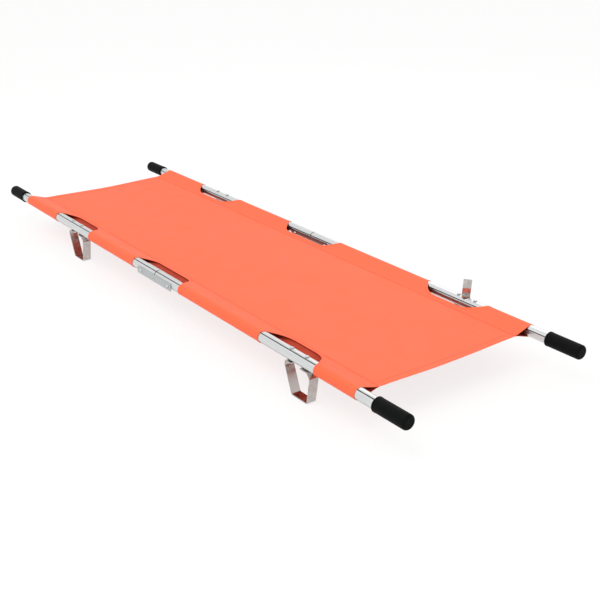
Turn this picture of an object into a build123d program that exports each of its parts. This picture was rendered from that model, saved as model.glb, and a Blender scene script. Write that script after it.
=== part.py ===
from build123d import *

import os
from math import acos, atan2, cos, degrees, hypot, radians, sin

# A folding stretcher. Two rails, each of two tubes joined by a hinge channel, stand on four
# bent-strip legs and carry a coated cloth sheet. Two jointed spreader bars hold the rails
# apart. X runs along the rails, Y across them and Z up, in millimetres. The origin is on the
# floor, under the middle. Each function builds its piece about the rail's own axis, and
# place() puts it on the front rail (side -1) or the back rail (side +1).

# Overall size
OVERALL_LENGTH = 2200.0
RAIL_SPACING = 582.0
AXIS_HEIGHT = 104.0

# Rail tubes: extruded aluminium with four grooves
TUBE_R = 16.0
TUBE_WALL = 2.0
TUBE_END = 1092.0
STUB_END = 1.5
GROOVE_R = 1.4
GROOVE_CENTRE_R = 16.0
FIRST_GROOVE_ANGLE = 30.0

# Grips
GRIP_R = 19.5
GRIP_LENGTH = 106.0
GRIP_RIM_R = 20.0
GRIP_RIM_LENGTH = 4.0
GRIP_END_ROUND = 7.0

# Hinge channel, with one pin for each half of the rail
PIN_X = 80.0
PIN_DROP = 6.0
PIN_R = 4.0
PIN_HEAD_R = 6.5
PIN_HEAD_HEIGHT = 3.5
CHANNEL_HALF_LENGTH = 100.0
CHANNEL_FLOOR_HALF_LENGTH = 69.0
CHANNEL_WALL = 2.5
CHANNEL_GAP = 0.3
CHANNEL_TOP = 7.0
CHANNEL_CORNER = 8.0
CHANNEL_BEND_R = 3.0
INSERT_START = 3.0
INSERT_END = 100.0

# Legs: one flat strip bent into a stirrup, held by two upright bolts
LEG_X = {-1: -595.0, 1: 658.0}
STRIP_WIDTH = 28.0
STRIP_THICK = 3.0
STRIP_EDGE_R = 0.8
LEG_BEND_R = 4.0
LEG_BOLTS = (11.0, 74.0)
BOLT_R = 3.0
BOLT_HEAD_R = 4.8
BOLT_HEAD_HEIGHT = 2.6
BOLT_HEAD_ROUND = 1.8
WASHER_R = 6.0
WASHER_THICK = 0.8
NUT_R = 5.6
NUT_HEIGHT = 5.0

# Spreader bars, one pair for each half
PIVOT_INBOARD = 34.0
EAR_WIDTH = 22.0
BAR_WIDTH = 20.0
BAR_THICK = 3.0
BAR_GAP = 0.3
PIVOT_HEAD_R = 5.5
PIVOT_HEAD_HEIGHT = 3.0
OPEN_PIVOT_CLEARANCE = 0.5

# Sheet: coated cloth, wrapped round the tubes and stitched to itself
SHEET_X = {-1: -944.0, 1: 931.0}
CLOTH_THICK = 1.0
CLOTH_GAP = 0.2
STITCH_INBOARD = 54.0
BED_THICK = 1.6
BED_EDGE_GAP = 0.5
BED_OVERLAP = 6.0
MIDDLE_LIFT = 1.7
MIDDLE_EDGE_GAP = 5.0
LEG_CUTOUT = {-1: (-697.0, -443.0), 1: (543.0, 777.0)}
HINGE_CUTOUT = 138.0
CUTOUT_SLANT = 30.0
FLAP_INBOARD = 18.0

# Strip tab on the back rail
TAB_X = 687.0
TAB_OUTBOARD = 7.0
TAB_TURN = -45.0
TAB_ROLL = -6.0
TAB_WIDTH = 24.0
TAB_LUG = 20.0
TAB_SCREW_BACK = 10.0
TAB_UPRIGHT = 22.0
TAB_LEAN_OUT = 9.0
TAB_TOP = 46.0
SCREW_R = 2.0
SCREW_HEAD_R = 4.0
SCREW_HEAD_HEIGHT = 2.4

# Clearances in holes
RUNNING = 0.05
SNUG = 0.02
BOLT_CLEARANCE = 0.1

SIDES = {"front": -1, "back": 1}
HALVES = {"left": -1, "right": 1}

# Heights below the rail axis where the stacked pieces lie
FLANGE_Z = -TUBE_R - STRIP_THICK / 2
EAR_TOP = -TUBE_R - STRIP_THICK
FRONT_BAR_TOP = EAR_TOP - BAR_THICK - BAR_GAP
BACK_BAR_TOP = FRONT_BAR_TOP - BAR_THICK - BAR_GAP


def place(shape, side):
    """Moves a piece from the rail's own axis to the front or back rail."""
    return Pos(0, side * RAIL_SPACING / 2, AXIS_HEIGHT) * shape


def along_x(sketch, start, end):
    """Extrudes a sketch of the YZ plane from one X to another."""
    low, high = sorted((start, end))
    return extrude(Plane.YZ.offset(low) * sketch, amount=high - low)


def upright(x, y, radius, bottom, top):
    """A cylinder about a vertical line."""
    return Pos(x, y, (bottom + top) / 2) * Cylinder(radius, top - bottom)


def crosswise(x, z, radius, length):
    """A cylinder about a line along Y."""
    return Pos(x, 0, z) * Rot(90, 0, 0) * Cylinder(radius, length)


def bolt_positions(half):
    return [LEG_X[half] + offset for offset in LEG_BOLTS]


def spreader_x(half):
    return bolt_positions(half)[1]


def rail_tube(side, half):
    ring = Circle(TUBE_R) - Circle(TUBE_R - TUBE_WALL)
    for quarter in range(4):
        angle = radians(FIRST_GROOVE_ANGLE + 90 * quarter)
        y = side * GROOVE_CENTRE_R * sin(angle)
        z = GROOVE_CENTRE_R * cos(angle)
        ring -= Pos(y, z) * Circle(GROOVE_R)
    tube = along_x(ring, half * STUB_END, half * TUBE_END)
    tube -= crosswise(half * PIN_X, -PIN_DROP, PIN_R + RUNNING, 4 * TUBE_R)
    for x in bolt_positions(half):
        tube -= upright(x, 0, BOLT_R + BOLT_CLEARANCE, -2 * TUBE_R, 2 * TUBE_R)
    if (side, half) == (1, 1):
        x, y = tab_screw_place()
        hole = upright(x, y, SCREW_R + BOLT_CLEARANCE, 0, 2 * TUBE_R)
        tube -= Rot(TAB_ROLL, 0, 0) * hole
    return tube


def tube_insert(half):
    """The plug that stiffens a tube's end where the hinge pin passes."""
    plug = along_x(Circle(TUBE_R - TUBE_WALL - RUNNING), half * INSERT_START, half * INSERT_END)
    return plug - crosswise(half * PIN_X, -PIN_DROP, PIN_R + RUNNING, 4 * TUBE_R)


def grip(half):
    """A closed moulded sleeve with a rim at its inner end and a rounded outer end."""
    inner = OVERALL_LENGTH / 2 - GRIP_LENGTH
    outer = OVERALL_LENGTH / 2
    rim_end = inner + GRIP_RIM_LENGTH
    bore = TUBE_R + RUNNING
    bore_end = TUBE_END + CHANNEL_GAP
    outline = Polyline(
        (inner, bore), (inner, GRIP_RIM_R), (rim_end, GRIP_RIM_R),
        (rim_end + GRIP_RIM_R - GRIP_R, GRIP_R), (outer, GRIP_R), (outer, 0),
        (bore_end, 0), (bore_end, bore), close=True)
    profile = make_face(outline)
    corner = profile.vertices().sort_by_distance((outer, GRIP_R, 0))[0]
    profile = fillet(corner, GRIP_END_ROUND)
    solid = revolve(profile, Axis.X)
    return solid if half > 0 else mirror(solid, about=Plane.YZ)


def trough(half_width, bend):
    """The channel's section, filled up to its top edge, with its lower corners bent."""
    face = Pos(0, (CHANNEL_TOP - half_width) / 2) * Rectangle(
        2 * half_width, CHANNEL_TOP + half_width)
    return fillet(face.vertices().group_by(Axis.Y)[0], bend)


def hinge_channel():
    """A channel open at the top. Its floor stops short of the pins, so that each half can turn
    down about its pin, and carries the tubes' stubs when the stretcher is open."""
    inside = TUBE_R + CHANNEL_GAP
    outside = inside + CHANNEL_WALL
    section = trough(outside, CHANNEL_BEND_R + CHANNEL_WALL) - trough(inside, CHANNEL_BEND_R)
    block = along_x(section, -CHANNEL_HALF_LENGTH, CHANNEL_HALF_LENGTH)
    side_view = Pos(0, (CHANNEL_TOP - outside) / 2) * RectangleRounded(
        2 * CHANNEL_HALF_LENGTH, CHANNEL_TOP + outside, CHANNEL_CORNER)
    block &= extrude(Plane.XZ * side_view, amount=outside, both=True)
    for half in HALVES.values():
        length = CHANNEL_HALF_LENGTH - CHANNEL_FLOOR_HALF_LENGTH
        x = half * (CHANNEL_FLOOR_HALF_LENGTH + length / 2)
        block -= Pos(x, 0, 0) * Box(length, 2 * inside, 4 * TUBE_R)
        block -= crosswise(half * PIN_X, -PIN_DROP, PIN_R + SNUG, 4 * TUBE_R)
    return block


def hinge_pins():
    """Two riveted pins with a domed head at each end."""
    outside = TUBE_R + CHANNEL_GAP + CHANNEL_WALL
    outline = Polyline(
        (0, 0), (0, -outside - PIN_HEAD_HEIGHT), (PIN_HEAD_R, -outside - PIN_HEAD_HEIGHT),
        (PIN_HEAD_R, -outside), (PIN_R, -outside), (PIN_R, outside), (PIN_HEAD_R, outside),
        (PIN_HEAD_R, outside + PIN_HEAD_HEIGHT), (0, outside + PIN_HEAD_HEIGHT), close=True)
    profile = make_face(outline)
    corners = [v for v in profile.vertices()
               if v.X > PIN_R + SNUG and abs(v.Y) > outside + SNUG]
    pin = revolve(fillet(corners, PIN_HEAD_HEIGHT - RUNNING), Axis.Y)
    return Compound([Pos(half * PIN_X, 0, -PIN_DROP) * pin for half in HALVES.values()])


def bent_strip(path, width):
    """Flat strip with softened edges, bent along a path in the XZ plane."""
    section = Plane(path @ 0, x_dir=(0, 1, 0), z_dir=path % 0) * RectangleRounded(
        width, STRIP_THICK, STRIP_EDGE_R)
    return sweep(section, path=path)


def leg(half):
    """A strip bent from the flange under one bolt, down to the foot and back up to a shoulder
    and the flange under the other bolt. Both flanges turn inwards."""
    start = LEG_X[half]
    foot_z = STRIP_THICK / 2 - AXIS_HEIGHT
    path = FilletPolyline(
        (start + 24, 0, FLANGE_Z), (start, 0, FLANGE_Z), (start - 1, 0, FLANGE_Z - 13),
        (start + 28, 0, foot_z), (start + 90, 0, foot_z), (start + 101, 0, FLANGE_Z - 15),
        (start + 89, 0, FLANGE_Z), (start + 61, 0, FLANGE_Z), radius=LEG_BEND_R)
    strip = bent_strip(path, STRIP_WIDTH)
    for x in bolt_positions(half):
        strip -= upright(x, 0, BOLT_R + BOLT_CLEARANCE, EAR_TOP - 1, -TUBE_R + 1)
    return strip


def hexagon(x, across_corners_r, bottom, top):
    return Pos(x, 0, bottom) * extrude(RegularPolygon(across_corners_r, 6), amount=top - bottom)


def leg_fasteners(half):
    """Two bolts with their washers on top of the tube, and their nuts below."""
    pieces = []
    for index, x in enumerate(bolt_positions(half)):
        nut_top = EAR_TOP - BAR_THICK * index
        washer_top = TUBE_R + WASHER_THICK
        shank = upright(x, 0, BOLT_R, nut_top - NUT_HEIGHT - 2, washer_top)
        head = upright(x, 0, BOLT_HEAD_R, washer_top, washer_top + BOLT_HEAD_HEIGHT)
        bolt = shank + fillet(head.edges().group_by(Axis.Z)[-1], BOLT_HEAD_ROUND)
        washer = upright(x, 0, WASHER_R, TUBE_R, washer_top)
        washer -= upright(x, 0, BOLT_R + SNUG, TUBE_R, washer_top)
        nut = hexagon(x, NUT_R, nut_top - NUT_HEIGHT, nut_top)
        nut -= upright(x, 0, BOLT_R + SNUG, nut_top - NUT_HEIGHT, nut_top)
        pieces += [bolt, washer, nut]
    return Compound(pieces)


def spreader_ear(side, half):
    """A flat ear, clamped under the leg by its second bolt, that carries the bar's pivot."""
    x = spreader_x(half)
    inboard = -side * PIVOT_INBOARD
    outline = SlotCenterToCenter(PIVOT_INBOARD, EAR_WIDTH, rotation=90)
    plate = Pos(x, inboard / 2, EAR_TOP - BAR_THICK) * extrude(outline, amount=BAR_THICK)
    for y in (0, inboard):
        plate -= upright(x, y, BOLT_R + SNUG, EAR_TOP - BAR_THICK, EAR_TOP)
    return plate


def pivot_rivet(x, y, top, bottom):
    """A rivet whose heads bear on the stack between top and bottom."""
    return (upright(x, y, PIVOT_HEAD_R, top, top + PIVOT_HEAD_HEIGHT)
            + upright(x, y, BOLT_R, bottom, top)
            + upright(x, y, PIVOT_HEAD_R, bottom - PIVOT_HEAD_HEIGHT, bottom))


def spreader_pivot(side, half):
    """The rivet through the ear and the bar. On the back rail a spacer fills the step between
    the two bars."""
    x = spreader_x(half)
    y = -side * PIVOT_INBOARD
    bar_top = BACK_BAR_TOP if side > 0 else FRONT_BAR_TOP
    rivet = pivot_rivet(x, y, EAR_TOP, bar_top - BAR_THICK - BAR_GAP)
    if side < 0:
        return rivet
    spacer_bottom = BACK_BAR_TOP + BAR_GAP
    spacer = upright(x, y, PIVOT_HEAD_R, spacer_bottom, EAR_TOP - BAR_THICK)
    spacer -= upright(x, y, BOLT_R + SNUG, spacer_bottom, EAR_TOP - BAR_THICK)
    return Compound([rivet, spacer])


def bar_length():
    return RAIL_SPACING / 2 - PIVOT_INBOARD


def spreader_bar(side, half):
    """Half of a spreader: a flat bar from the ear's pivot to the knuckle in the middle."""
    x = spreader_x(half)
    pivot_y = side * bar_length()
    top = AXIS_HEIGHT + (BACK_BAR_TOP if side > 0 else FRONT_BAR_TOP)
    outline = SlotCenterToCenter(bar_length(), BAR_WIDTH, rotation=90)
    bar = Pos(x, pivot_y / 2, top - BAR_THICK) * extrude(outline, amount=BAR_THICK)
    pivot_clearance = OPEN_PIVOT_CLEARANCE if (side, half) == (1, 1) else RUNNING
    knuckle_clearance = RUNNING if side > 0 else SNUG
    bar -= upright(x, pivot_y, BOLT_R + pivot_clearance, top - BAR_THICK, top)
    return bar - upright(x, 0, BOLT_R + knuckle_clearance, top - BAR_THICK, top)


def spreader_knuckle(half):
    """The rivet that joins the two bars under the middle of the sheet."""
    bottom = BACK_BAR_TOP - BAR_THICK - BAR_GAP
    return Pos(0, 0, AXIS_HEIGHT) * pivot_rivet(spreader_x(half), 0, FRONT_BAR_TOP, bottom)


def wrap_outline(radius, point):
    """A closed outline round a circle and out to a point (or its mirror image below), along the
    tangents from it."""
    distance = hypot(point[0], point[1])
    lean = atan2(point[1], point[0]) + acos(radius / distance)
    touch = (radius * cos(lean), radius * sin(lean))
    below = (touch[0], -touch[1])
    edges = [Line(point, touch), ThreePointArc(touch, (-radius, 0), below),
             Line(below, (point[0], -point[1]))]
    if point[1] > 0:
        edges.append(Line((point[0], -point[1]), point))
    return make_face(Wire(edges))


def cloth_ring():
    """The cloth's section round a tube: both plies run from the tube to the line of stitching."""
    outer = wrap_outline(TUBE_R + CLOTH_GAP + CLOTH_THICK, (STITCH_INBOARD, BED_THICK / 2))
    inner = wrap_outline(TUBE_R + CLOTH_GAP, (STITCH_INBOARD - 2 * BED_THICK, 0))
    return outer - inner


def slanted_end(x, direction):
    """The wedge that a cut-out's slanting end takes off a sleeve. The sleeve lies towards
    direction from x, and is longest at the line of stitching."""
    far = x + direction * CUTOUT_SLANT
    outside = -2 * TUBE_R
    wedge = make_face(Polyline((x, outside), (far, outside), (far, 0), (x, STITCH_INBOARD),
                               close=True))
    return Pos(0, 0, -2 * TUBE_R) * extrude(wedge, amount=4 * TUBE_R)


def sleeve(side, half, place_name):
    """One stretch of the sheet's edge, wrapped round a tube."""
    near, far = sorted(LEG_CUTOUT[half], key=abs)
    if place_name == "outer":
        start, end, slants = far, SHEET_X[half], [(far, half)]
    else:
        start, end = half * HINGE_CUTOUT, near
        slants = [(start, half), (near, -half)]
    solid = along_x(cloth_ring(), start, end)
    for x, direction in slants:
        solid -= slanted_end(x, direction)
    return solid if side < 0 else mirror(solid, about=Plane.XZ)


def under_flap(side, half):
    """The lower ply, left whole across a leg's cut-out."""
    start, end = sorted(LEG_CUTOUT[half])
    window = Pos((STITCH_INBOARD + FLAP_INBOARD) / 2, -TUBE_R / 2) * Rectangle(
        STITCH_INBOARD - FLAP_INBOARD, TUBE_R)
    ply = cloth_ring() & window
    flap = along_x(ply, start + CLOTH_GAP, end - CLOTH_GAP)
    return flap if side < 0 else mirror(flap, about=Plane.XZ)


def bed_panel(half):
    """The flat cloth between the stitching of one half. Half 0 is the strip over the hinges,
    a cloth's thickness above the others, which it overlaps at the fold lines."""
    width = RAIL_SPACING - 2 * (STITCH_INBOARD + BED_EDGE_GAP)
    lift = 0.0
    if half == 0:
        low, high = -PIN_X - BED_OVERLAP, PIN_X + BED_OVERLAP
        width -= 2 * MIDDLE_EDGE_GAP
        lift = MIDDLE_LIFT
    else:
        low, high = sorted((half * (PIN_X - BED_OVERLAP), SHEET_X[half]))
    return Pos((low + high) / 2, 0, AXIS_HEIGHT + lift) * Box(high - low, width, BED_THICK)


def tab_screw_place():
    """Where the tab's screw goes through its lug, before the tab is rolled about the rail."""
    turn = radians(TAB_TURN)
    return TAB_X + TAB_SCREW_BACK * cos(turn), TAB_OUTBOARD + TAB_SCREW_BACK * sin(turn)


def strip_tab():
    """A bent strip that stands up from the back rail: lug, upright and a top that leans away."""
    floor = TUBE_R + STRIP_THICK / 2
    path = FilletPolyline(
        (TAB_LUG, 0, floor), (0, 0, floor), (0, 0, floor + TAB_UPRIGHT),
        (-TAB_LEAN_OUT, 0, TUBE_R + TAB_TOP), radius=STRIP_THICK)
    strip = Pos(TAB_X, TAB_OUTBOARD, 0) * Rot(0, 0, TAB_TURN) * bent_strip(path, TAB_WIDTH)
    x, y = tab_screw_place()
    strip -= upright(x, y, SCREW_R + SNUG, TUBE_R, TUBE_R + STRIP_THICK)
    return Rot(TAB_ROLL, 0, 0) * strip


def tab_screw():
    x, y = tab_screw_place()
    head_bottom = TUBE_R + STRIP_THICK
    screw = (upright(x, y, SCREW_R, TUBE_R - 3 * TUBE_WALL, head_bottom)
             + upright(x, y, SCREW_HEAD_R, head_bottom, head_bottom + SCREW_HEAD_HEIGHT))
    return Rot(TAB_ROLL, 0, 0) * screw


def corner_pieces(side_name, half_name):
    """Every piece that belongs to one tube of one rail."""
    side, half = SIDES[side_name], HALVES[half_name]
    return {
        "rail_tube": rail_tube(side, half),
        "tube_insert": tube_insert(half),
        "grip": grip(half),
        "leg": leg(half),
        "leg_fasteners": leg_fasteners(half),
        "spreader_ear": spreader_ear(side, half),
        "spreader_pivot": spreader_pivot(side, half),
        "outer_sleeve": sleeve(side, half, "outer"),
        "inner_sleeve": sleeve(side, half, "inner"),
        "under_flap": under_flap(side, half),
    }


def all_pieces():
    pieces = {}
    for side_name, side in SIDES.items():
        for half_name, half in HALVES.items():
            corner = f"{side_name}_{half_name}"
            for name, shape in corner_pieces(side_name, half_name).items():
                pieces[f"{corner}_{name}"] = place(shape, side)
            pieces[f"{half_name}_{side_name}_spreader_bar"] = spreader_bar(side, half)
        pieces[f"{side_name}_hinge_channel"] = place(hinge_channel(), side)
        pieces[f"{side_name}_hinge_pins"] = place(hinge_pins(), side)
    for half_name, half in HALVES.items():
        pieces[f"{half_name}_spreader_knuckle"] = spreader_knuckle(half)
        pieces[f"{half_name}_bed"] = bed_panel(half)
    pieces["middle_bed"] = bed_panel(0)
    pieces["strip_tab"] = place(strip_tab(), 1)
    pieces["strip_tab_screw"] = place(tab_screw(), 1)
    return pieces


os.makedirs("parts", exist_ok=True)
for node, shape in all_pieces().items():
    export_step(shape, f"parts/{node}.step")
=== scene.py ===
import math

import bmesh
import bpy
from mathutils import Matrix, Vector, noise


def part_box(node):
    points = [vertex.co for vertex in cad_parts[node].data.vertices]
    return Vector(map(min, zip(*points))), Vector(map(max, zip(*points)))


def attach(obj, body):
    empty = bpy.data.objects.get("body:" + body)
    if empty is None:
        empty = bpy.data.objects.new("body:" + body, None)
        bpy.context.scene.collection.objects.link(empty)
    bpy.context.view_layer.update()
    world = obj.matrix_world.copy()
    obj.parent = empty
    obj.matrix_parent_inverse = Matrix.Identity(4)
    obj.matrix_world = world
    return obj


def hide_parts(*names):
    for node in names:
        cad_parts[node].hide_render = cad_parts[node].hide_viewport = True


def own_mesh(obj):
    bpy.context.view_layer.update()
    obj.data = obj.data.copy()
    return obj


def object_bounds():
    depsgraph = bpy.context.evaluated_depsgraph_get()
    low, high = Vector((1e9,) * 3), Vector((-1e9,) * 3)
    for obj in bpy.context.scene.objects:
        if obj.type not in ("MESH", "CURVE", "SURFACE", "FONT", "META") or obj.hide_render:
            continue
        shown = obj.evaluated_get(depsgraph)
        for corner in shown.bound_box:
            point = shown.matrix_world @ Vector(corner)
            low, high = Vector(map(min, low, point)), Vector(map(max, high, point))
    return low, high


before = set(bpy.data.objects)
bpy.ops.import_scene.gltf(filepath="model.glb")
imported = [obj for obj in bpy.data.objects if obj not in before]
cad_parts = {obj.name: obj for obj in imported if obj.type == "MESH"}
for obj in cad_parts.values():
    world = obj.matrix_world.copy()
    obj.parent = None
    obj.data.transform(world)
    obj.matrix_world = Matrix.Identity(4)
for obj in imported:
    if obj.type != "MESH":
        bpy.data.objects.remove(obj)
cad_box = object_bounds()


# STUDIO
# A bright room with a thin pale floor that shows soft shadows, one large soft light high on the
# near side and a weaker one behind. The camera looks down along the stretcher from its right end.
def linear(hex_code):
    """An sRGB hex colour as linear RGBA."""
    channels = [int(hex_code[i:i + 2], 16) / 255 for i in (1, 3, 5)]
    curved = [c / 12.92 if c <= 0.04045 else ((c + 0.055) / 1.055) ** 2.4 for c in channels]
    return curved + [1.0]


def add_node(tree, kind, inputs, **settings):
    """Adds a node, sets its properties, and sets or links each of its inputs."""
    node = tree.nodes.new(kind)
    for name, value in settings.items():
        setattr(node, name, value)
    for name, value in inputs.items():
        if isinstance(value, bpy.types.NodeSocket):
            tree.links.new(value, node.inputs[name])
        else:
            node.inputs[name].default_value = value
    return node


def new_material(name):
    """An empty material and its node tree."""
    material = bpy.data.materials.new(name)
    material.use_nodes = True
    material.node_tree.nodes.clear()
    return material, material.node_tree


AZIMUTH = math.radians(53.2)
ELEVATION = math.radians(22.83)
AIM = Vector((0.157, 0.117, -0.026))
DISTANCE = 3.148

camera = bpy.data.objects.new("camera", bpy.data.cameras.new("camera"))
bpy.context.scene.collection.objects.link(camera)
away = Vector((
    math.sin(AZIMUTH) * math.cos(ELEVATION),
    -math.cos(AZIMUTH) * math.cos(ELEVATION),
    math.sin(ELEVATION)))
camera.location = AIM + away * DISTANCE
camera.rotation_euler = (math.pi / 2 - ELEVATION, 0, AZIMUTH)
camera.data.lens = 60.1
camera.data.sensor_width = 36
bpy.context.scene.camera = camera
bpy.context.scene.view_settings.view_transform = "Standard"

world = bpy.data.worlds.new("bright_room")
bpy.context.scene.world = world
world.use_nodes = True
world.node_tree.nodes.clear()
room = add_node(world.node_tree, "ShaderNodeBackground",
                {"Color": linear("#FEFEFE"), "Strength": 1.0})
add_node(world.node_tree, "ShaderNodeOutputWorld", {"Surface": room.outputs[0]})


def soft_light(name, place, size, watts):
    """A square area light that faces the middle of the stretcher."""
    light = bpy.data.objects.new(name, bpy.data.lights.new(name, "AREA"))
    bpy.context.scene.collection.objects.link(light)
    light.data.size = size
    light.data.energy = watts
    light.location = place
    light.rotation_euler = (-Vector(place)).to_track_quat("-Z", "Y").to_euler()


soft_light("key_light", place=(0.8, -2.0, 3.6), size=2.5, watts=60)
soft_light("fill_light", place=(-1.5, 2.4, 2.6), size=2.0, watts=15)

FLOOR_REACH = 30.0
FLOOR_OPACITY = 0.2
floor_mesh = bpy.data.meshes.new("floor")
floor_mesh.from_pydata(
    [(x * FLOOR_REACH, y * FLOOR_REACH, cad_box[0][2])
     for x, y in ((-1, -1), (1, -1), (1, 1), (-1, 1))],
    [], [(0, 1, 2, 3)])
floor = bpy.data.objects.new("floor", floor_mesh)
bpy.context.scene.collection.objects.link(floor)
# Matt white film: faint from above, so that it takes only a light shadow, and clear from below.
floor_paint, tree = new_material("matt_white_floor_film")
side_seen = add_node(tree, "ShaderNodeNewGeometry", {})
opacity = add_node(tree, "ShaderNodeMapRange", {
    "Value": side_seen.outputs["Backfacing"], "To Min": FLOOR_OPACITY, "To Max": 0.0})
clear = add_node(tree, "ShaderNodeBsdfTransparent", {})
white = add_node(tree, "ShaderNodeBsdfDiffuse", {"Color": linear("#F6F6F4")})
film = add_node(tree, "ShaderNodeMixShader", {
    0: opacity.outputs[0], 1: clear.outputs[0], 2: white.outputs[0]})
add_node(tree, "ShaderNodeOutputMaterial", {"Surface": film.outputs[0]})
floor_mesh.materials.append(floor_paint)


# RAIL TUBES
# Four lengths of round aluminium tube, extruded with four fine grooves and clear anodised. The
# die leaves faint lines along each tube, and handling leaves the surface slightly uneven.
MM = 0.001
tube_low, tube_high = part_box("front_left_rail_tube")
RAIL_Y = -(tube_low.y + tube_high.y) / 2
RAIL_Z = (tube_low.z + tube_high.z) / 2
TUBE_R = (tube_high.z - tube_low.z) / 2
CORNERS = [f"{side}_{half}" for side in ("front", "back") for half in ("left", "right")]


def dress(material, nodes):
    """Gives CAD nodes their finished material."""
    for node in nodes:
        for material_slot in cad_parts[node].material_slots:
            material_slot.material = material


LINE_STRETCH = 50
# GROOVE_SHADE: how dark the grooves and bore are painted, partly grime and partly painted shade.
GROOVE_SHADE = 0.12
HANDLING = 40 * MM


def stretched_place(tree, across):
    """Object coordinates for a pattern of a given size across the X direction, in metres, drawn
    out along X."""
    place = add_node(tree, "ShaderNodeTexCoord", {})
    along = across * LINE_STRETCH
    return add_node(tree, "ShaderNodeMapping", {
        "Vector": place.outputs["Object"], "Scale": (1 / along, 1 / across, 1 / across)})


def groove_shade(tree):
    """Partly grime and partly painted shade in the grooves and the bore: dark below the tube's
    own surface, and clear at it.
    """
    place = add_node(tree, "ShaderNodeTexCoord", {})
    axes = add_node(tree, "ShaderNodeSeparateXYZ", {"Vector": place.outputs["Object"]})
    side = add_node(tree, "ShaderNodeMath", {0: axes.outputs["Y"]}, operation="ABSOLUTE")
    from_axis = add_node(tree, "ShaderNodeCombineXYZ", {"Y": side.outputs[0],
                                                        "Z": axes.outputs["Z"]})
    radius = add_node(tree, "ShaderNodeVectorMath", {
        0: from_axis.outputs[0], 1: (0, RAIL_Y, RAIL_Z)}, operation="DISTANCE")
    unshaded_share = add_node(tree, "ShaderNodeMapRange", {
        "Value": radius.outputs["Value"], "From Min": TUBE_R - 0.8 * MM,
        "From Max": TUBE_R - 0.15 * MM, "To Min": GROOVE_SHADE, "To Max": 1.0})
    return unshaded_share.outputs[0]


def rolled_metal(name, colour_dark, colour_light, roughness, line_width, line_depth, anisotropy,
                 shade=None):
    """A bare metal with lines drawn out along X, which catch the light unevenly. shade gives a
    socket that darkens its colour."""
    material, tree = new_material(name)
    place = stretched_place(tree, line_width)
    lines = add_node(tree, "ShaderNodeTexNoise", {
        "Vector": place.outputs[0], "Scale": 1.0, "Detail": 3.0, "Roughness": 0.6})
    tint = add_node(tree, "ShaderNodeValToRGB", {"Fac": lines.outputs["Fac"]})
    tint.color_ramp.elements[0].position = 0.3
    tint.color_ramp.elements[0].color = linear(colour_dark)
    tint.color_ramp.elements[1].position = 0.7
    tint.color_ramp.elements[1].color = linear(colour_light)
    handling = add_node(tree, "ShaderNodeTexNoise", {"Scale": 1 / HANDLING, "Detail": 4.0})
    dullness = add_node(tree, "ShaderNodeMapRange", {
        "Value": handling.outputs["Fac"], "From Min": 0.3, "From Max": 0.7,
        "To Min": roughness * 0.85, "To Max": roughness * 1.2})
    relief = add_node(tree, "ShaderNodeBump", {
        "Height": lines.outputs["Fac"], "Strength": 0.5, "Distance": line_depth})
    colour = tint.outputs["Color"]
    if shade:
        shaded = add_node(tree, "ShaderNodeVectorMath", {0: colour, 1: shade(tree)},
                          operation="MULTIPLY")
        colour = shaded.outputs[0]
    shader = add_node(tree, "ShaderNodeBsdfPrincipled", {
        "Base Color": colour, "Metallic": 1.0, "Roughness": dullness.outputs[0],
        "Anisotropic": anisotropy, "Normal": relief.outputs[0]})
    add_node(tree, "ShaderNodeOutputMaterial", {"Surface": shader.outputs[0]})
    return material


# Clear anodised extruded aluminium: pale, satin, with fine die lines that stretch its
# highlights. Die lines are about 0.1 mm apart, and are drawn at 0.6 mm so that they show.
# Its grooves and bore are darkened by groove_shade: partly grime, partly painted shade.
anodised_tube = rolled_metal(
    "clear_anodised_extruded_aluminium", "#C9CBCC", "#E2E3E3", roughness=0.3,
    line_width=0.6 * MM, line_depth=0.02 * MM, anisotropy=0.3, shade=groove_shade)
dress(anodised_tube, [f"{corner}_rail_tube" for corner in CORNERS])


# TUBE ENDS
# A black moulded plug in the end of each tube at the hinge stiffens it round the pin. Only its
# face shows, as a dark line where the two tubes meet.
# Moulded black nylon: near black, with the dull even surface of a spark-eroded mould.
black_nylon, tree = new_material("moulded_black_nylon")
spark_grain = add_node(tree, "ShaderNodeTexNoise", {"Scale": 1 / (0.8 * MM), "Detail": 2.0})
relief = add_node(tree, "ShaderNodeBump", {
    "Height": spark_grain.outputs["Fac"], "Strength": 0.4, "Distance": 0.03 * MM})
shader = add_node(tree, "ShaderNodeBsdfPrincipled", {
    "Base Color": linear("#121314"), "Roughness": 0.55, "IOR": 1.53,
    "Normal": relief.outputs[0]})
add_node(tree, "ShaderNodeOutputMaterial", {"Surface": shader.outputs[0]})
dress(black_nylon, [f"{corner}_tube_insert" for corner in CORNERS])


# GRIPS
# Four soft black rubber sleeves, moulded with a closed rounded end and a rim, and pushed hard
# onto the tubes' ends.
# Moulded rubber: near black with a faint bloom, and a pebbled grain that keeps it from shining.
# The pebbles are 0.9 mm across.
grip_rubber, tree = new_material("moulded_black_rubber")
place = add_node(tree, "ShaderNodeTexCoord", {})
pebbles = add_node(tree, "ShaderNodeTexVoronoi", {
    "Vector": place.outputs["Object"], "Scale": 1 / (0.9 * MM)}, feature="SMOOTH_F1")
bloom = add_node(tree, "ShaderNodeTexNoise", {
    "Vector": place.outputs["Object"], "Scale": 1 / (12 * MM), "Detail": 5.0})
tint = add_node(tree, "ShaderNodeValToRGB", {"Fac": bloom.outputs["Fac"]})
tint.color_ramp.elements[0].position = 0.35
tint.color_ramp.elements[0].color = linear("#050606")
tint.color_ramp.elements[1].position = 0.75
tint.color_ramp.elements[1].color = linear("#0B0C0D")
relief = add_node(tree, "ShaderNodeBump", {
    "Height": pebbles.outputs["Distance"], "Strength": 0.7, "Distance": 0.12 * MM}, invert=True)
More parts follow.
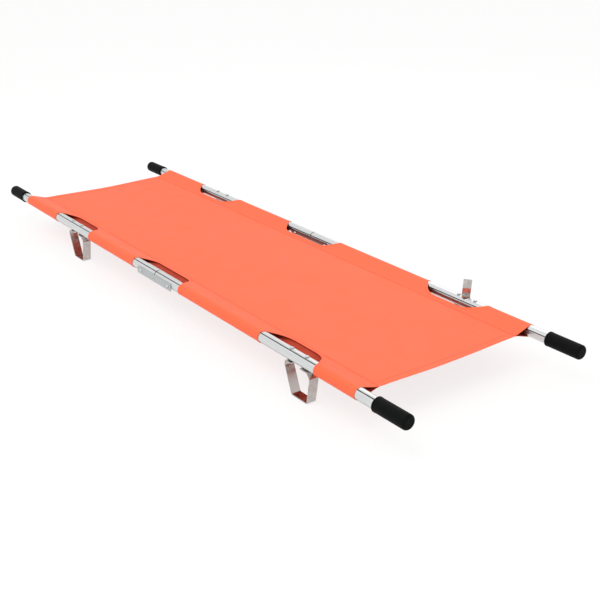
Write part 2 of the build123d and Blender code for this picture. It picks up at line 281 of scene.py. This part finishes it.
shader = add_node(tree, "ShaderNodeBsdfPrincipled", {
    "Base Color": tint.outputs["Color"], "Roughness": 0.62, "IOR": 1.52,
    "Specular IOR Level": 0.07, "Normal": relief.outputs[0]})
add_node(tree, "ShaderNodeOutputMaterial", {"Surface": shader.outputs[0]})
dress(grip_rubber, [f"{corner}_grip" for corner in CORNERS])


# HINGES
# In the middle of each rail a folded aluminium channel carries both tubes, each on its own pin.
# Each pin is a zinc-plated steel rivet with a domed head at each end.
# Brushed aluminium sheet: greyer than the tubes, with short bright scratches along its length.
# The brush lines are about 0.1 mm apart, and are drawn at 0.4 mm so that they show.
brushed_channel = rolled_metal(
    "brushed_aluminium_sheet", "#A9ACAD", "#C6C9CA", roughness=0.36,
    line_width=0.4 * MM, line_depth=0.03 * MM, anisotropy=0.4)
dress(brushed_channel, [f"{side}_hinge_channel" for side in ("front", "back")])

# Zinc-plated steel: cool light grey, slightly cloudy from the bath, and softly bright.
zinc_plate, tree = new_material("zinc_plated_steel")
cloud = add_node(tree, "ShaderNodeTexNoise", {"Scale": 1 / (5 * MM), "Detail": 3.0})
tint = add_node(tree, "ShaderNodeValToRGB", {"Fac": cloud.outputs["Fac"]})
tint.color_ramp.elements[0].position = 0.3
tint.color_ramp.elements[0].color = linear("#AEB3B6")
tint.color_ramp.elements[1].position = 0.7
tint.color_ramp.elements[1].color = linear("#CDD0CF")
dullness = add_node(tree, "ShaderNodeMapRange", {
    "Value": cloud.outputs["Fac"], "To Min": 0.22, "To Max": 0.42})
relief = add_node(tree, "ShaderNodeBump", {
    "Height": cloud.outputs["Fac"], "Strength": 0.3, "Distance": 0.05 * MM})
shader = add_node(tree, "ShaderNodeBsdfPrincipled", {
    "Base Color": tint.outputs["Color"], "Metallic": 1.0, "Roughness": dullness.outputs[0],
    "Normal": relief.outputs[0]})
add_node(tree, "ShaderNodeOutputMaterial", {"Surface": shader.outputs[0]})
dress(zinc_plate, [f"{side}_hinge_pins" for side in ("front", "back")])


# LEGS
# Four stirrups of bright steel strip, each bent in one piece, with the corners rounded over the
# bending tool. Two zinc-plated bolts hold each one up against its tube.
# Bright nickel-plated strip: it mirrors the cloth above it, and fine scratches from bending and
# standing on hard floors blur it. The scratches are drawn 0.5 mm wide so that they show.
nickel_strip, tree = new_material("bright_nickel_plated_strip")
place = add_node(tree, "ShaderNodeTexCoord", {})
scratches = add_node(tree, "ShaderNodeTexNoise", {
    "Vector": place.outputs["Object"], "Scale": 1 / (0.5 * MM), "Detail": 2.0, "Distortion": 2.0})
scuffs = add_node(tree, "ShaderNodeTexNoise", {
    "Vector": place.outputs["Object"], "Scale": 1 / (15 * MM), "Detail": 5.0})
tint = add_node(tree, "ShaderNodeValToRGB", {"Fac": scuffs.outputs["Fac"]})
tint.color_ramp.elements[0].position = 0.3
tint.color_ramp.elements[0].color = linear("#B2ABA7")
tint.color_ramp.elements[1].position = 0.65
tint.color_ramp.elements[1].color = linear("#C3BEBB")
dullness = add_node(tree, "ShaderNodeMapRange", {
    "Value": scuffs.outputs["Fac"], "From Min": 0.3, "From Max": 0.7,
    "To Min": 0.14, "To Max": 0.3})
relief = add_node(tree, "ShaderNodeBump", {
    "Height": scratches.outputs["Fac"], "Strength": 0.12, "Distance": 0.02 * MM})
shader = add_node(tree, "ShaderNodeBsdfPrincipled", {
    "Base Color": tint.outputs["Color"], "Metallic": 1.0, "Roughness": dullness.outputs[0],
    "Normal": relief.outputs[0]})
add_node(tree, "ShaderNodeOutputMaterial", {"Surface": shader.outputs[0]})
dress(nickel_strip, [f"{corner}_leg" for corner in CORNERS])
dress(zinc_plate, [f"{corner}_leg_fasteners" for corner in CORNERS])


# SPREADERS
# Two flat bars hold the rails apart under the cloth at each end. Each is two lengths of the same
# strip, riveted together in the middle and riveted to an ear clamped under each leg.
dress(nickel_strip, [f"{corner}_spreader_ear" for corner in CORNERS])
dress(zinc_plate, [f"{corner}_spreader_pivot" for corner in CORNERS])
for half in ("left", "right"):
    dress(nickel_strip, [f"{half}_{side}_spreader_bar" for side in ("front", "back")])
    dress(zinc_plate, [f"{half}_spreader_knuckle"])


# STRIP TAB
# A short bent strip that stands up from the back rail. It is taken to be a catch for the folded
# stretcher's strap, of the same plated strip as the legs, screwed through its foot into the tube.
dress(nickel_strip, ["strip_tab"])
dress(zinc_plate, ["strip_tab_screw"])


# SHEET EDGES
# The sheet is one width of PVC-coated polyester. Each edge wraps right round its tubes and is
# sewn down along two rows, and openings are cut and hemmed in the wrap for the legs and hinges.
# It is made here in lengths that part at the hinge lines, each attached to an empty for its body.
FOLD_TUCK = 6 * MM
PIN_X = FOLD_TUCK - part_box("left_bed")[1].x
CLOTH = 0.8 * MM
SLACK = 0.25 * MM
WRAP_R = TUBE_R + SLACK + CLOTH / 2
SEAM_U = RAIL_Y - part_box("left_bed")[1].y
SEAM_ROUND = 10 * MM
EASE_STEPS = 10
ARC_STEPS = 60
LIP_U = SEAM_U + 11.5 * MM
LOWER_EDGE_U = SEAM_U + 6.5 * MM


def half_wrap():
    """The upper ply's middle line in the section across a rail, as (inboard, up) points: flat to
    the seam, eased into the slope, and up to where it touches the tube."""
    seam = Vector((SEAM_U, CLOTH / 2))
    lean = math.atan2(seam.y, seam.x) + math.acos(WRAP_R / seam.length)
    touch = Vector((math.cos(lean), math.sin(lean))) * WRAP_R
    start = Vector((SEAM_U + SEAM_ROUND, CLOTH / 2))
    end = seam.lerp(touch, SEAM_ROUND / (touch - seam).length)
    ease = [start * (1 - t) ** 2 + seam * 2 * t * (1 - t) + end * t * t
            for t in [i / EASE_STEPS for i in range(EASE_STEPS + 1)]]
    return ease, lean


def wrap_line():
    """The cloth's middle line all the way round: along the upper ply, round the tube and back
    along the lower ply to its edge just past the seam."""
    ease, lean = half_wrap()
    arc = [Vector((math.cos(a), math.sin(a))) * WRAP_R
           for a in [lean + (math.tau - 2 * lean) * i / ARC_STEPS for i in range(ARC_STEPS + 1)]]
    upper = [Vector((LIP_U, CLOTH / 2))] + ease
    lower = [Vector((p.x, -p.y)) for p in reversed(ease)]
    return upper + arc + [p for p in lower if p.x < LOWER_EDGE_U] + [
        Vector((LOWER_EDGE_U, -CLOTH / 2))]


WRAP = wrap_line()
WRAP_STEPS = [(b - a).length for a, b in zip(WRAP, WRAP[1:])]
WRAP_LENGTH = sum(WRAP_STEPS)


def on_wrap(s):
    """The point at a distance s along the wrap, and the direction out of the cloth there."""
    s = min(max(s, 0), WRAP_LENGTH)
    for index, step in enumerate(WRAP_STEPS):
        if s <= step or index == len(WRAP_STEPS) - 1:
            break
        s -= step
    share = s / step
    points = [WRAP[max(index - 1, 0)], WRAP[index], WRAP[index + 1],
              WRAP[min(index + 2, len(WRAP) - 1)]]
    run = (points[2] - points[0]).normalized().lerp(
        (points[3] - points[1]).normalized(), share).normalized()
    return points[1].lerp(points[2], share), Vector((run.y, -run.x))


def wrap_distance(u, under=False):
    """How far along the wrap the cloth is u inboard of the rail, on its upper or lower ply."""
    travelled = 0.0
    found = 0.0
    for a, b, step in zip(WRAP, WRAP[1:], WRAP_STEPS):
        crosses = min(a.x, b.x) <= u <= max(a.x, b.x) and a.x != b.x
        if crosses and ((a.y + b.y) < 0) == under:
            found = travelled + step * (u - a.x) / (b.x - a.x)
        travelled += step
    return found


CREST = wrap_distance(0)
UNDERSIDE = wrap_distance(0, under=True)
CUT_TOP = {"front": wrap_distance(49 * MM), "back": wrap_distance(41 * MM)}
LEG_CUT_LOW = wrap_distance(18 * MM, under=True)
HINGE_CUT_LOW = wrap_distance(26 * MM, under=True)


BEND_STEPS = 8
END_ROOM = 0.95
SHARED_ROOM = 0.5


def rounded(corners, radii):
    """A line through corners, with each inner corner rounded by its radius, as far as the
    straight lengths beside it leave room."""
    line = [Vector(corners[0])]
    last = len(corners) - 2
    for i, radius in enumerate(radii, 1):
        before, corner, after = (Vector(c) for c in corners[i - 1:i + 2])
        back, ahead = before - corner, after - corner
        reach = min(radius / math.tan(back.angle(ahead) / 2),
                    back.length * (END_ROOM if i == 1 else SHARED_ROOM),
                    ahead.length * (END_ROOM if i == last else SHARED_ROOM))
        start, end = corner + back.normalized() * reach, corner + ahead.normalized() * reach
        line += [start * (1 - t) ** 2 + corner * 2 * t * (1 - t) + end * t * t
                 for t in [i / BEND_STEPS for i in range(BEND_STEPS + 1)]]
    return line + [Vector(corners[-1])]


def spaced(line, shares):
    """Points at the given shares of a line's length."""
    steps = [(b - a).length for a, b in zip(line, line[1:])]
    total = sum(steps)
    made = []
    for share in shares:
        left = share * total
        for index, step in enumerate(steps):
            if left <= step + 1e-9 or index == len(steps) - 1:
                break
            left -= step
        made.append(line[index].lerp(line[index + 1], min(left / step, 1)))
    return made


HEM = 7 * MM
HEM_RISE = 0.4 * MM
HEM_STITCHES = 5 * MM
HEM_STEP = 1 * MM
HEM_ROWS = (0, HEM * 0.5, HEM, HEM + HEM_STEP)
OPEN_ROWS = 9
PLAIN_STEP = 10 * MM
AROUND = [i / 64 for i in range(65)]
ALONG = [i / 44 for i in range(45)]


class Cloth:
    """Gathers the cloth's middle surface as points (x, s, hem) and quads, for one length of one
    edge. x is the distance from the middle of the rail and s the distance along the wrap."""

    def __init__(self):
        self.points = []
        self.quads = []
        self.known = {}
        self.hems = []

    def point(self, x, s, hem=0.0):
        key = (round(x, 6), round(s, 6))
        if key not in self.known:
            self.known[key] = len(self.points)
            self.points.append((x, s, hem))
        return self.known[key]

    def rows(self, lines):
        """Quads between neighbouring lines of points, each with as many points."""
        numbered = [[self.point(*p) for p in line] for line in lines]
        for line, other in zip(numbered, numbered[1:]):
            for a, b, c, d in zip(line, line[1:], other[1:], other):
                if len({a, b, c, d}) > 2:
                    self.quads.append([v for i, v in enumerate((a, b, c, d))
                                       if v != (a, b, c, d)[i - 1]])

    def plain(self, start, end):
        """Cloth that wraps right round the tube."""
        count = max(2, round((end - start) / PLAIN_STEP))
        self.rows([[(start + (end - start) * i / count, share * WRAP_LENGTH) for share in AROUND]
                   for i in range(count + 1)])

    def fan(self, inner, outer):
        """Cloth between an opening's edge and a line round it, with a hem along the edge."""
        self.hems.append([a.lerp(b, HEM_STITCHES / (b - a).length)
                          for a, b in zip(inner, outer)])
        lines = []
        for i in range(len(HEM_ROWS) + OPEN_ROWS):
            line = []
            for a, b in zip(inner, outer):
                reach = (b - a).length
                if i < len(HEM_ROWS):
                    share = HEM_ROWS[i] / reach
                else:
                    start = HEM_ROWS[-1] / reach
                    share = start + (1 - start) * (i - len(HEM_ROWS) + 1) / OPEN_ROWS
                p = a.lerp(b, share)
                line.append((p.x, p.y, float(i < len(HEM_ROWS) - 1)))
            lines.append(line)
        self.rows(lines)


LOW_SLANT = 0.6


def opening_corners(start, end, slant, top, bottom):
    """The corners of an opening in the flat cloth. Its top edge is inboard on the upper ply and
    its bottom edge under the tube, on the lower ply."""
    low_slant = slant * LOW_SLANT
    return {
        "top": [(start + slant, top), (end - slant, top)],
        "far": [(end, CREST), (end, UNDERSIDE)],
        "low": [(end - low_slant, bottom), (start + low_slant, bottom)],
        "near": [(start, UNDERSIDE), (start, CREST)]}


def middle(a, b):
    """The point halfway between two points."""
    return ((a[0] + b[0]) / 2, (a[1] + b[1]) / 2)


OPENING_MARGIN = 45 * MM
ROUND_TOP = {"front": 70 * MM, "back": 110 * MM}
ROUND_CREST = 22 * MM
ROUND_LOW = 16 * MM


def leg_opening(cloth, start, end, slant, side_name):
    """The cloth round a whole opening, from a margin before it to a margin after it."""
    sides = opening_corners(start, end, slant, CUT_TOP[side_name], LEG_CUT_LOW)
    order = ["top", "far", "low", "near"]
    radii = {"top": [ROUND_TOP[side_name]] * 2, "far": [ROUND_CREST, ROUND_LOW],
             "low": [ROUND_LOW] * 2, "near": [ROUND_LOW, ROUND_CREST]}
    left, right = start - OPENING_MARGIN, end + OPENING_MARGIN
    frame_corners = [Vector(c) for c in (
        (left, 0), (right, 0), (right, WRAP_LENGTH), (left, WRAP_LENGTH), (left, 0))]
    for index, name in enumerate(order):
        before, after = sides[order[index - 1]][1], sides[order[(index + 1) % 4]][0]
        first, last = sides[name]
        edge = rounded([middle(before, first), first, last, middle(last, after)], radii[name])
        shares = AROUND if name in ("far", "near") else ALONG
        inner = spaced(edge, shares)
        outer = spaced(frame_corners[index:index + 2], shares)
        cloth.fan(inner, outer)
    return left, right


def hinge_opening(cloth, split, end, slant, side_name):
    """The cloth round half of a hinge's opening, which runs out at the fold line."""
    cut_top = CUT_TOP[side_name]
    sides = opening_corners(-end, end, slant, cut_top, HINGE_CUT_LOW)
    right = end + OPENING_MARGIN
    top, far, low = sides["top"][1], sides["far"], sides["low"][0]
    edges = [
        rounded([(split, cut_top), top, middle(top, far[0])], [ROUND_TOP[side_name]]),
        rounded([middle(top, far[0]), *far, middle(far[1], low)], [ROUND_CREST, ROUND_LOW]),
        rounded([middle(far[1], low), low, (split, HINGE_CUT_LOW)], [ROUND_LOW])]
    frame_corners = [Vector(c) for c in (
        (split, 0), (right, 0), (right, WRAP_LENGTH), (split, WRAP_LENGTH))]
    for index, edge in enumerate(edges):
        shares = AROUND if index == 1 else ALONG
        cloth.fan(spaced(edge, shares), spaced(frame_corners[index:index + 2], shares))
    return right


PUCKER = 0.5 * MM
PUCKER_SIZE = 45 * MM
PUCKER_SEED = 7.3
SLOPE_MIDDLE = (wrap_distance(SEAM_U) + CREST) / 2


def place_on_edge(x, s, side, half, offset):
    """A point of an edge in the frame: x from the middle, s along the wrap, and offset out of
    the cloth's middle surface."""
    point, out = on_wrap(s)
    free = max(0.0, 1 - abs(min(s, WRAP_LENGTH - s) - SLOPE_MIDDLE) / SLOPE_MIDDLE)
    ripple = noise.noise(Vector((half * x / PUCKER_SIZE, side * PUCKER_SEED, s / PUCKER_SIZE)))
    point = point + out * (offset + PUCKER * free * free * ripple)
    return (half * x, side * (RAIL_Y - point.x), RAIL_Z + point.y)


def cloth_object(name, outside, inside, quads, materials):
    """A closed piece of cloth from the two faces of its middle surface, with its cut edges
    closed, smooth all over but for those edges. The second material is the inside face's."""
    mesh = bmesh.new()
    count = len(outside)
    vertices = [mesh.verts.new(p) for p in outside + inside]
    uses = {}
    for quad in quads:
        mesh.faces.new([vertices[v] for v in quad])
        reverse = mesh.faces.new([vertices[v + count] for v in reversed(quad)])
        reverse.material_index = 1
        for a, b in zip(quad, quad[1:] + quad[:1]):
            uses[(a, b)] = uses.get((a, b), 0) + 1
    for a, b in uses:
        if (b, a) not in uses:
            mesh.faces.new([vertices[b], vertices[a], vertices[a + count], vertices[b + count]])
    bmesh.ops.recalc_face_normals(mesh, faces=mesh.faces)
    data = bpy.data.meshes.new(name)
    mesh.to_mesh(data)
    mesh.free()
    data.shade_smooth()
    data.set_sharp_from_angle(angle=math.radians(50))
    for material in materials:
        data.materials.append(material)
    piece = bpy.data.objects.new(name, data)
    bpy.context.scene.collection.objects.link(piece)
    return piece


# PVC-coated polyester: flat opaque orange with the base cloth's threads just showing through the
# coating. Threads are 0.5 mm apart, and are drawn at 1.2 mm so that they show. The coating is
# slightly uneven in colour and gloss where it has been handled and folded. A wave texture of
# scale 1 repeats every WAVE_PERIOD.
coated_cloth, tree = new_material("pvc_coated_polyester_weave")
place = add_node(tree, "ShaderNodeTexCoord", {})
THREAD = 1.2 * MM
WAVE_PERIOD = math.tau / 20
threads = []
for direction in ("X", "Y"):
    threads.append(add_node(tree, "ShaderNodeTexWave", {
        "Vector": place.outputs["Object"], "Scale": WAVE_PERIOD / THREAD,
        "Distortion": 0.6, "Detail": 1.0, "Detail Scale": 2.0},
        wave_type="BANDS", bands_direction=direction, wave_profile="SIN"))
weave = add_node(tree, "ShaderNodeMath", {
    0: threads[0].outputs["Fac"], 1: threads[1].outputs["Fac"]}, operation="MULTIPLY")
creases = add_node(tree, "ShaderNodeTexNoise", {
    "Vector": place.outputs["Object"], "Scale": 1 / (60 * MM), "Detail": 6.0, "Roughness": 0.6})
tint = add_node(tree, "ShaderNodeValToRGB", {"Fac": creases.outputs["Fac"]})
tint.color_ramp.elements[0].position = 0.25
tint.color_ramp.elements[0].color = linear("#F25F37")
tint.color_ramp.elements[1].position = 0.75
tint.color_ramp.elements[1].color = linear("#F6653D")
dullness = add_node(tree, "ShaderNodeMapRange", {
    "Value": creases.outputs["Fac"], "From Min": 0.3, "From Max": 0.7,
    "To Min": 0.5, "To Max": 0.64})
relief = add_node(tree, "ShaderNodeBump", {
    "Height": weave.outputs[0], "Strength": 0.35, "Distance": 0.08 * MM})
shader = add_node(tree, "ShaderNodeBsdfPrincipled", {
    "Base Color": tint.outputs["Color"], "Roughness": dullness.outputs[0], "IOR": 1.53,
    "Specular IOR Level": 0.32, "Normal": relief.outputs[0]})
add_node(tree, "ShaderNodeOutputMaterial", {"Surface": shader.outputs[0]})

# The sheet's reverse: a deeper red than the coating, and matt. The deeper red is painted shade
# for the dim insides of the wrap and the openings, and the bed's underside takes it too.
reverse_painted_shade, tree = new_material("polyester_reverse_painted_shade")
place = add_node(tree, "ShaderNodeTexCoord", {})
fading = add_node(tree, "ShaderNodeTexNoise", {
    "Vector": place.outputs["Object"], "Scale": 1 / (30 * MM), "Detail": 5.0})
tint = add_node(tree, "ShaderNodeValToRGB", {"Fac": fading.outputs["Fac"]})
tint.color_ramp.elements[0].position = 0.3
tint.color_ramp.elements[0].color = linear("#A53723")
tint.color_ramp.elements[1].position = 0.7
tint.color_ramp.elements[1].color = linear("#B2402B")
fibres = add_node(tree, "ShaderNodeTexNoise", {
    "Vector": place.outputs["Object"], "Scale": 1 / THREAD, "Detail": 2.0})
relief = add_node(tree, "ShaderNodeBump", {
    "Height": fibres.outputs["Fac"], "Strength": 0.4, "Distance": 0.1 * MM})
shader = add_node(tree, "ShaderNodeBsdfPrincipled", {
    "Base Color": tint.outputs["Color"], "Roughness": 0.85, "IOR": 1.53,
    "Specular IOR Level": 0.2, "Normal": relief.outputs[0]})
add_node(tree, "ShaderNodeOutputMaterial", {"Surface": shader.outputs[0]})
# The inside faces take the reverse, whose deeper red is painted shade.
SHEET_FACES = [coated_cloth, reverse_painted_shade]

# Bonded polyester thread: three plies twisted together, a shade darker than the coating and
# slightly glossy. It is 0.6 mm thick, and is drawn at 1 mm so that it shows.
sewing_thread, tree = new_material("bonded_polyester_thread")
twist = add_node(tree, "ShaderNodeTexNoise", {"Scale": 1 / (1.0 * MM), "Detail": 1.0})
tint = add_node(tree, "ShaderNodeValToRGB", {"Fac": twist.outputs["Fac"]})
tint.color_ramp.elements[0].position = 0.35
tint.color_ramp.elements[0].color = linear("#E25636")
tint.color_ramp.elements[1].position = 0.65
tint.color_ramp.elements[1].color = linear("#EE6340")
relief = add_node(tree, "ShaderNodeBump", {
    "Height": twist.outputs["Fac"], "Strength": 0.5, "Distance": 0.1 * MM})
shader = add_node(tree, "ShaderNodeBsdfPrincipled", {
    "Base Color": tint.outputs["Color"], "Roughness": 0.5, "IOR": 1.53,
    "Normal": relief.outputs[0]})
add_node(tree, "ShaderNodeOutputMaterial", {"Surface": shader.outputs[0]})

STITCH_PITCH = 5 * MM
STITCH_SHARE = 0.72
STITCH_R = 0.5 * MM
STITCH_SUNK = 0.4
STITCH_PROFILE = ((0, 0.35), (0.2, 1), (0.8, 1), (1, 0.35))
STITCH_SIDES = 6


def stitches(line):
    """The two ends of each stitch along a line of flat-cloth points."""
    total = sum((b - a).length for a, b in zip(line, line[1:]))
    count = max(1, round(total / STITCH_PITCH))
    starts = spaced(line, [i / count for i in range(count)])
    ends = spaced(line, [(i + STITCH_SHARE) / count for i in range(count)])
    return list(zip(starts, ends))


def sewn(name, stitch_ends, body):
    """One piece that holds many stitches, each a short rounded length of thread."""
    mesh = bmesh.new()
    circle = [Vector((math.cos(math.tau * i / STITCH_SIDES),
                      math.sin(math.tau * i / STITCH_SIDES), 0)) for i in range(STITCH_SIDES)]
    for start, end in stitch_ends:
        start, end = Vector(start), Vector(end)
        turn = (end - start).to_track_quat("Z", "Y")
        rings = [[mesh.verts.new(start.lerp(end, share) + turn @ p * STITCH_R * width)
                  for p in circle] for share, width in STITCH_PROFILE]
        for low, high in zip(rings, rings[1:]):
            for i in range(STITCH_SIDES):
                j = (i + 1) % STITCH_SIDES
                mesh.faces.new((low[i], low[j], high[j], high[i]))
        mesh.faces.new(rings[0][::-1])
        mesh.faces.new(rings[-1])
    data = bpy.data.meshes.new(name)
    mesh.to_mesh(data)
    mesh.free()
    data.shade_smooth()
    data.materials.append(sewing_thread)
    piece = bpy.data.objects.new(name, data)
    bpy.context.scene.collection.objects.link(piece)
    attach(piece, body)
    return piece


SEAM_ROWS = [SEAM_U + 2 * MM, SEAM_U + 5.5 * MM]


def seam_lines(start, end):
    """The two rows that hold both plies together, on the upper ply and under the lower one."""
    return [[Vector((start, s)), Vector((end, s))]
            for u in SEAM_ROWS for s in (wrap_distance(u), wrap_distance(u, under=True))]


def sew_edge(name, lines, side, half, body):
    """Stitches on one length of edge, along lines in the flat cloth."""
    lift = CLOTH / 2 + STITCH_R * STITCH_SUNK
    ends = [(place_on_edge(a.x, a.y, side, half, lift), place_on_edge(b.x, b.y, side, half, lift))
            for line in lines for a, b in stitches(line)]
    return sewn(name, ends, body)


SIDES = {"front": -1, "back": 1}
HALVES = {"left": -1, "right": 1}
HINGE_SLANT = 37 * MM
LEG_SLANT = 44 * MM


def edge_piece(side_name, half_name):
    """One length of edge, from the fold line at the hinge to the sheet's end."""
    side, half = SIDES[side_name], HALVES[half_name]
    corner = f"{side_name}_{half_name}"
    outer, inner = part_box(f"{corner}_outer_sleeve"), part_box(f"{corner}_inner_sleeve")
    outer_start, end = sorted((abs(outer[0].x), abs(outer[1].x)))
    hinge_end, inner_end = sorted((abs(inner[0].x), abs(inner[1].x)))
    cloth = Cloth()
    after_hinge = hinge_opening(cloth, PIN_X, hinge_end, HINGE_SLANT, side_name)
    before_leg, after_leg = leg_opening(cloth, inner_end, outer_start, LEG_SLANT, side_name)
    cloth.plain(after_hinge, before_leg)
    cloth.plain(after_leg, end)
    outside = [place_on_edge(x, s, side, half, CLOTH / 2 + hem * HEM_RISE)
               for x, s, hem in cloth.points]
    inside = [place_on_edge(x, s, side, half, -CLOTH / 2) for x, s, hem in cloth.points]
    piece = cloth_object(f"sheet_edge_{corner}", outside, inside, cloth.quads, SHEET_FACES)
    thread = sew_edge(f"edge_stitches_{corner}", seam_lines(PIN_X, end) + cloth.hems, side, half,
                      corner)
    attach(piece, corner)
    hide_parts(f"{corner}_outer_sleeve", f"{corner}_inner_sleeve", f"{corner}_under_flap")
    return piece


edges = {corner: edge_piece(*corner.split("_")) for corner in CORNERS}


# The short lengths of edge between the two fold lines stay clear of the hinge channels: a strip
# of the upper ply beside the bed, and under it a wider strip of the lower ply.
MIDDLE_STEPS = 8


def middle_edge(side_name):
    """The short length of one edge, from one fold line to the other."""
    side = SIDES[side_name]
    cloth = Cloth()
    columns = [-PIN_X + PIN_X * i / MIDDLE_STEPS for i in range(2 * MIDDLE_STEPS + 1)]
    top, low = CUT_TOP[side_name], HINGE_CUT_LOW
    upper = [top - row for row in HEM_ROWS] + [top * 0.3, 0]
    lower = [low + row for row in HEM_ROWS]
    lower += [lower[-1] + (WRAP_LENGTH - lower[-1]) * i / 6 for i in range(1, 7)]
    for ply in (upper, lower):
        cloth.rows([[(x, s, float(i < 3)) for i, s in enumerate(ply)] for x in columns])
    outside = [place_on_edge(x, s, side, 1, CLOTH / 2 + hem * HEM_RISE)
               for x, s, hem in cloth.points]
    inside = [place_on_edge(x, s, side, 1, -CLOTH / 2) for x, s, hem in cloth.points]
    piece = cloth_object(f"sheet_edge_{side_name}_middle", outside, inside, cloth.quads,
                         SHEET_FACES)
    hems = [[Vector((-PIN_X, s)), Vector((PIN_X, s))]
            for s in (top - HEM_STITCHES, low + HEM_STITCHES)]
    thread = sew_edge(f"edge_stitches_{side_name}_middle", seam_lines(-PIN_X, PIN_X) + hems,
                      side, 1, f"{side_name}_link")
    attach(piece, f"{side_name}_link")
    return piece


for side_name in ("front", "back"):
    edges[f"{side_name}_middle"] = middle_edge(side_name)


# SHEET BED
# The flat of the same sheet between the rows of stitching, drawn tight by the spreaders, with a
# hem turned under at each end. It parts at the two fold lines, where the middle stretch's ends
# tuck under the others, so that no gap opens when the rails fold.
BED_HALF = RAIL_Y - LIP_U
ACROSS_STEPS = 20
TUCK_DROP = 0.9 * MM
TUCK_EDGE = 0.05 * MM
TUCK_START = PIN_X - FOLD_TUCK - TUCK_EDGE
END_HEM = 25 * MM
END_HEM_STITCHES = 20 * MM
SAG = 4 * MM
SAG_START = 0.10
SAG_FULL = 0.40
WAVE = 0.9 * MM
WAVE_SIZE = 0.16
WAVE_SEED = 3.7


def bed_height(x, y):
    """How far the bed lies below its own flat plane: a slight sag between the rails, and long
    shallow waves that die out at the edges and at the fold lines."""
    across = (1 - (y / BED_HALF) ** 2) ** 2
    t = min(max((abs(x) - SAG_START) / (SAG_FULL - SAG_START), 0), 1)
    along = t * t * (3 - 2 * t)
    wave = noise.noise(Vector((x / WAVE_SIZE / 2, y / WAVE_SIZE, WAVE_SEED)))
    return along * across * (wave * WAVE - SAG)


def sew_bed_end(name, x, body):
    """The row of stitches across the bed that holds an end hem down."""
    count = round(2 * BED_HALF / STITCH_PITCH)
    flat = RAIL_Z + CLOTH + STITCH_R * STITCH_SUNK
    ends = []
    for i in range(count):
        ys = [2 * BED_HALF * (i + part) / count - BED_HALF for part in (0, STITCH_SHARE)]
        ends.append([(x, y, flat + bed_height(x, y)) for y in ys])
    thread = sewn(name, ends, body)
    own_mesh(thread)
    return thread


def bed_piece(stretch, columns, body, end_x=None):
    """One stretch of the bed. Each column is (x, drop of the middle surface, hem)."""
    name = f"{stretch}_bed"
    across = [math.sin(math.pi / 2 * (i / ACROSS_STEPS - 1)) * BED_HALF
              for i in range(2 * ACROSS_STEPS + 1)]
    outside, inside = [], []
    for x, drop, hem in columns:
        for y in across:
            z = RAIL_Z + CLOTH / 2 - drop + bed_height(x, y)
            outside.append((x, y, z + CLOTH / 2))
            inside.append((x, y, z - CLOTH / 2 - hem * CLOTH))
    rows = len(across)
    quads = [[i * rows + j, (i + 1) * rows + j, (i + 1) * rows + j + 1, i * rows + j + 1]
             for i in range(len(columns) - 1) for j in range(rows - 1)]
    piece = cloth_object(f"sheet_{name}", outside, inside, quads, SHEET_FACES)
    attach(piece, body)
    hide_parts(name)
    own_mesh(piece)
    if end_x:
        sew_bed_end(f"{stretch}_end_stitches", end_x, body)
    return piece


BED_STEPS = 48


def half_columns(half_name):
    """Columns from the fold line out to the end, closer together at the hem."""
    half = HALVES[half_name]
    end = max(abs(c.x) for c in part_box(f"front_{half_name}_outer_sleeve"))
    start = PIN_X - FOLD_TUCK
    plain = [(start + (end - END_HEM - start) * i / BED_STEPS, 0, 0)
             for i in range(BED_STEPS + 1)]
    hem_start = end - END_HEM + HEM_STEP
    hem = [(hem_start + (END_HEM - HEM_STEP) * i / 4, 0, 1) for i in range(5)]
    columns = [(half * x, drop, hem) for x, drop, hem in plain + hem]
    return columns if half > 0 else columns[::-1]


for half_name, outwards in HALVES.items():
    end = max(abs(c.x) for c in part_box(f"front_{half_name}_outer_sleeve"))
    bed_piece(half_name, half_columns(half_name), f"front_{half_name}",
              outwards * (end - END_HEM_STITCHES))
inner = [TUCK_START * (i / MIDDLE_STEPS - 1) for i in range(2 * MIDDLE_STEPS + 1)]
tuck = [(PIN_X + FOLD_TUCK, TUCK_DROP, 0), (TUCK_START + TUCK_EDGE, TUCK_DROP, 0)]
bed_piece(
    "middle",
    [(-x, drop, hem) for x, drop, hem in tuck] + [(x, 0, 0) for x in inner] + tuck[::-1],
    "front_link")
